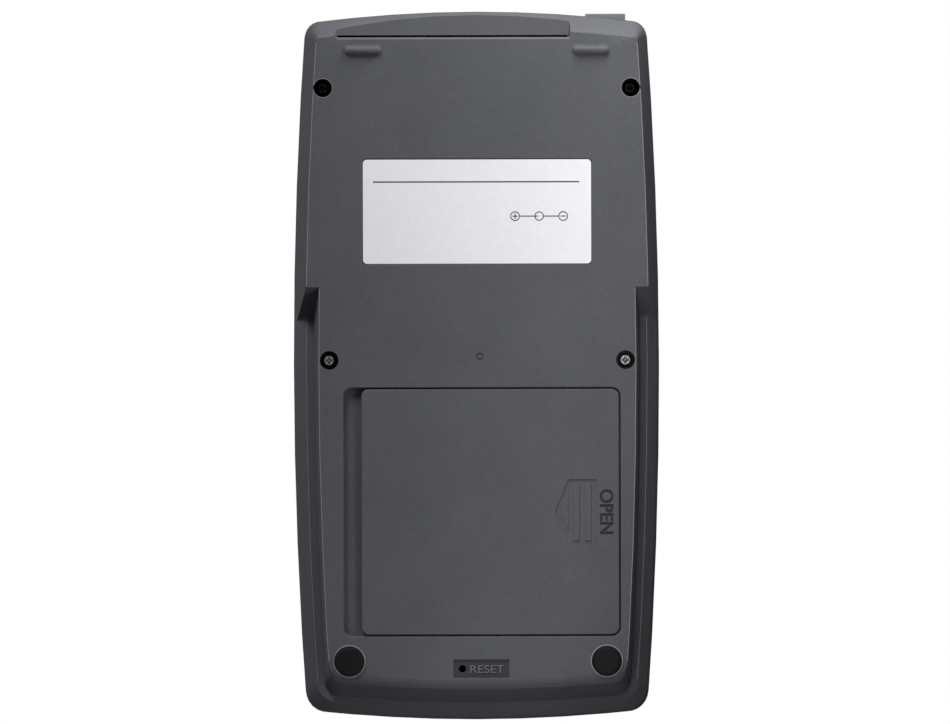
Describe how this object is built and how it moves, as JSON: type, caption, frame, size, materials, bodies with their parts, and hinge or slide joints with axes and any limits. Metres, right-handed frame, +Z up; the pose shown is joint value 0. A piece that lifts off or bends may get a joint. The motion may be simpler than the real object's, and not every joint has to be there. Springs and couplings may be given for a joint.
{
  "type": "printing calculator",
  "caption": "Handheld printing calculator with sprung keys, slide switches, a hinged printer hatch over a geared drum printer, and a sliding door over a battery bay.",
  "frame": {"origin": "on the table under the middle of the case", "axes": "+X to the user's right, +Y from the user to the rear edge, +Z up from the table"},
  "size_m": [0.102, 0.1976, 0.0443],
  "materials": {
    "case_grey": "fine moulded grain",
    "top_grey": "fine moulded grain",
    "label_silver": "satin silver film",
    "foot_rubber": "matt",
    "screw_steel": "nickel plated",
    "board_green": "solder mask",
    "mat_rubber": "matt",
    "window_clear": "clear, polished",
    "display_glass": "polished",
    "ribbon_amber": "film",
    "tear_steel": "brushed",
    "frame_black": "moulded",
    "drum_black": "moulded",
    "gear_nylon": "natural nylon",
    "ink_foam": "inked foam",
    "roller_rubber": "ground",
    "motor_steel": "plated",
    "pinion_brass": "cut",
    "jack_black": "moulded",
    "contact_steel": "nickel plated",
    "key_dark": "satin",
    "key_light": "satin",
    "key_warm": "satin",
    "knob_dark": "satin"
  },
  "bodies": {
    "case": {"bottom_case": "case_grey", "top_case": "top_grey", "rating_label": "label_silver", "rubber_feet": "foot_rubber", "case_screws": "screw_steel", "main_board": "board_green", "board_screws": "screw_steel", "keypad_mat": "mat_rubber", "display_window": "window_clear", "display_panel": "display_glass", "display_ribbon": "ribbon_amber", "tear_bar": "tear_steel", "printer_frame": "frame_black", "drive_motor": "motor_steel", "hammer_bank": "frame_black", "dc_jack": "jack_black", "battery_contacts": "contact_steel", "battery_springs": "contact_steel", "reset_switch": "jack_black"},
    "battery_door": {"battery_door": "case_grey"},
    "printer_cover": {"printer_cover": "top_grey"},
    "print_drum": {"print_drum": "drum_black", "drum_gear": "gear_nylon"},
    "feed_roller": {"feed_roller": "roller_rubber", "feed_gear": "gear_nylon"},
    "ink_roller": {"ink_roller": "ink_foam"},
    "motor_pinion": {"motor_pinion": "pinion_brass"},
    "reset_button": {"reset_button": "key_light"},
    "power_switch_knob": {"power_switch_knob": "knob_dark"},
    "rounding_switch_knob": {"rounding_switch_knob": "knob_dark"},
    "decimal_switch_knob": {"decimal_switch_knob": "knob_dark"},
    "key_paper_feed": {"key_paper_feed": "key_dark"},
    "key_memory_recall": {"key_memory_recall": "key_dark"},
    "key_memory_minus": {"key_memory_minus": "key_dark"},
    "key_memory_plus": {"key_memory_plus": "key_dark"},
    "key_divide": {"key_divide": "key_dark"},
    "key_backspace": {"key_backspace": "key_dark"},
    "key_root": {"key_root": "key_dark"},
    "key_percent": {"key_percent": "key_dark"},
    "key_sign": {"key_sign": "key_dark"},
    "key_multiply": {"key_multiply": "key_dark"},
    "key_subtotal": {"key_subtotal": "key_dark"},
    "key_7": {"key_7": "key_light"},
    "key_8": {"key_8": "key_light"},
    "key_9": {"key_9": "key_light"},
    "key_minus": {"key_minus": "key_dark"},
    "key_non_add": {"key_non_add": "key_dark"},
    "key_4": {"key_4": "key_light"},
    "key_5": {"key_5": "key_light"},
    "key_6": {"key_6": "key_light"},
    "key_plus": {"key_plus": "key_dark"},
    "key_clear_entry": {"key_clear_entry": "key_warm"},
    "key_1": {"key_1": "key_light"},
    "key_2": {"key_2": "key_light"},
    "key_3": {"key_3": "key_light"},
    "key_all_clear": {"key_all_clear": "key_warm"},
    "key_0": {"key_0": "key_light"},
    "key_double_zero": {"key_double_zero": "key_light"},
    "key_decimal": {"key_decimal": "key_light"},
    "key_equals": {"key_equals": "key_dark"}
  },
  "joints": [
    {"name": "battery_door_slide", "type": "slide", "parent": "case", "child": "battery_door", "axis": [1, 0, 0], "range_m": [0, 0.0047]},
    {"name": "printer_cover_hinge", "type": "hinge", "parent": "case", "child": "printer_cover", "pos_m": [0, 0.054, 0.0419], "axis": [1, 0, 0], "range_deg": [0, 88]},
    {"name": "print_drum_spin", "type": "hinge", "parent": "case", "child": "print_drum", "pos_m": [0, 0.0765, 0.027], "axis": [1, 0, 0], "continuous": true},
    {"name": "feed_roller_spin", "type": "hinge", "parent": "case", "child": "feed_roller", "pos_m": [0, 0.07801, 0.01107], "axis": [1, 0, 0], "continuous": true},
    {"name": "ink_roller_spin", "type": "hinge", "parent": "case", "child": "ink_roller", "pos_m": [0, 0.06481, 0.03375], "axis": [1, 0, 0], "continuous": true},
    {"name": "motor_pinion_spin", "type": "hinge", "parent": "case", "child": "motor_pinion", "pos_m": [0, 0.064, 0.01907], "axis": [1, 0, 0], "continuous": true},
    {"name": "reset_button_press", "type": "slide", "parent": "case", "child": "reset_button", "axis": [0, 0, 1], "range_m": [0, 0.0004], "stiffness_N_per_m": 200, "springref_m": -0.0005},
    {"name": "power_switch_slide", "type": "slide", "parent": "case", "child": "power_switch_knob", "axis": [1, 0, 0], "range_m": [-0.003, 0.003]},
    {"name": "rounding_switch_slide", "type": "slide", "parent": "case", "child": "rounding_switch_knob", "axis": [1, 0, 0], "range_m": [-0.003, 0.003]},
    {"name": "decimal_switch_slide", "type": "slide", "parent": "case", "child": "decimal_switch_knob", "axis": [1, 0, 0], "range_m": [-0.003, 0.003]},
    {"name": "key_paper_feed_press", "type": "slide", "parent": "case", "child": "key_paper_feed", "axis": [0, 0, -1], "range_m": [0, 0.001], "stiffness_N_per_m": 200, "springref_m": -0.002},
    {"name": "key_memory_recall_press", "type": "slide", "parent": "case", "child": "key_memory_recall", "axis": [0, 0, -1], "range_m": [0, 0.001], "stiffness_N_per_m": 200, "springref_m": -0.002},
    {"name": "key_memory_minus_press", "type": "slide", "parent": "case", "child": "key_memory_minus", "axis": [0, 0, -1], "range_m": [0, 0.001], "stiffness_N_per_m": 200, "springref_m": -0.002},
    {"name": "key_memory_plus_press", "type": "slide", "parent": "case", "child": "key_memory_plus", "axis": [0, 0, -1], "range_m": [0, 0.001], "stiffness_N_per_m": 200, "springref_m": -0.002},
    {"name": "key_divide_press", "type": "slide", "parent": "case", "child": "key_divide", "axis": [0, 0, -1], "range_m": [0, 0.001], "stiffness_N_per_m": 200, "springref_m": -0.002},
    {"name": "key_backspace_press", "type": "slide", "parent": "case", "child": "key_backspace", "axis": [0, 0, -1], "range_m": [0, 0.001], "stiffness_N_per_m": 200, "springref_m": -0.002},
    {"name": "key_root_press", "type": "slide", "parent": "case", "child": "key_root", "axis": [0, 0, -1], "range_m": [0, 0.001], "stiffness_N_per_m": 200, "springref_m": -0.002},
    {"name": "key_percent_press", "type": "slide", "parent": "case", "child": "key_percent", "axis": [0, 0, -1], "range_m": [0, 0.001], "stiffness_N_per_m": 200, "springref_m": -0.002},
    {"name": "key_sign_press", "type": "slide", "parent": "case", "child": "key_sign", "axis": [0, 0, -1], "range_m": [0, 0.001], "stiffness_N_per_m": 200, "springref_m": -0.002},
    {"name": "key_multiply_press", "type": "slide", "parent": "case", "child": "key_multiply", "axis": [0, 0, -1], "range_m": [0, 0.001], "stiffness_N_per_m": 200, "springref_m": -0.002},
    {"name": "key_subtotal_press", "type": "slide", "parent": "case", "child": "key_subtotal", "axis": [0, 0, -1], "range_m": [0, 0.001], "stiffness_N_per_m": 200, "springref_m": -0.002},
    {"name": "key_7_press", "type": "slide", "parent": "case", "child": "key_7", "axis": [0, 0, -1], "range_m": [0, 0.001], "stiffness_N_per_m": 200, "springref_m": -0.002},
    {"name": "key_8_press", "type": "slide", "parent": "case", "child": "key_8", "axis": [0, 0, -1], "range_m": [0, 0.001], "stiffness_N_per_m": 200, "springref_m": -0.002},
    {"name": "key_9_press", "type": "slide", "parent": "case", "child": "key_9", "axis": [0, 0, -1], "range_m": [0, 0.001], "stiffness_N_per_m": 200, "springref_m": -0.002},
    {"name": "key_minus_press", "type": "slide", "parent": "case", "child": "key_minus", "axis": [0, 0, -1], "range_m": [0, 0.001], "stiffness_N_per_m": 200, "springref_m": -0.002},
    {"name": "key_non_add_press", "type": "slide", "parent": "case", "child": "key_non_add", "axis": [0, 0, -1], "range_m": [0, 0.001], "stiffness_N_per_m": 200, "springref_m": -0.002},
    {"name": "key_4_press", "type": "slide", "parent": "case", "child": "key_4", "axis": [0, 0, -1], "range_m": [0, 0.001], "stiffness_N_per_m": 200, "springref_m": -0.002},
    {"name": "key_5_press", "type": "slide", "parent": "case", "child": "key_5", "axis": [0, 0, -1], "range_m": [0, 0.001], "stiffness_N_per_m": 200, "springref_m": -0.002},
    {"name": "key_6_press", "type": "slide", "parent": "case", "child": "key_6", "axis": [0, 0, -1], "range_m": [0, 0.001], "stiffness_N_per_m": 200, "springref_m": -0.002},
    {"name": "key_plus_press", "type": "slide", "parent": "case", "child": "key_plus", "axis": [0, 0, -1], "range_m": [0, 0.001], "stiffness_N_per_m": 200, "springref_m": -0.002},
    {"name": "key_clear_entry_press", "type": "slide", "parent": "case", "child": "key_clear_entry", "axis": [0, 0, -1], "range_m": [0, 0.001], "stiffness_N_per_m": 200, "springref_m": -0.002},
    {"name": "key_1_press", "type": "slide", "parent": "case", "child": "key_1", "axis": [0, 0, -1], "range_m": [0, 0.001], "stiffness_N_per_m": 200, "springref_m": -0.002},
    {"name": "key_2_press", "type": "slide", "parent": "case", "child": "key_2", "axis": [0, 0, -1], "range_m": [0, 0.001], "stiffness_N_per_m": 200, "springref_m": -0.002},
    {"name": "key_3_press", "type": "slide", "parent": "case", "child": "key_3", "axis": [0, 0, -1], "range_m": [0, 0.001], "stiffness_N_per_m": 200, "springref_m": -0.002},
    {"name": "key_all_clear_press", "type": "slide", "parent": "case", "child": "key_all_clear", "axis": [0, 0, -1], "range_m": [0, 0.001], "stiffness_N_per_m": 200, "springref_m": -0.002},
    {"name": "key_0_press", "type": "slide", "parent": "case", "child": "key_0", "axis": [0, 0, -1], "range_m": [0, 0.001], "stiffness_N_per_m": 200, "springref_m": -0.002},
    {"name": "key_double_zero_press", "type": "slide", "parent": "case", "child": "key_double_zero", "axis": [0, 0, -1], "range_m": [0, 0.001], "stiffness_N_per_m": 200, "springref_m": -0.002},
    {"name": "key_decimal_press", "type": "slide", "parent": "case", "child": "key_decimal", "axis": [0, 0, -1], "range_m": [0, 0.001], "stiffness_N_per_m": 200, "springref_m": -0.002},
    {"name": "key_equals_press", "type": "slide", "parent": "case", "child": "key_equals", "axis": [0, 0, -1], "range_m": [0, 0.001], "stiffness_N_per_m": 200, "springref_m": -0.002}
  ],
  "couplings": [
    {"joint": "feed_roller_spin", "follows": "print_drum_spin", "ratio": -1.5},
    {"joint": "motor_pinion_spin", "follows": "print_drum_spin", "ratio": -1.8462},
    {"joint": "ink_roller_spin", "follows": "print_drum_spin", "ratio": -1.2}
  ]
}
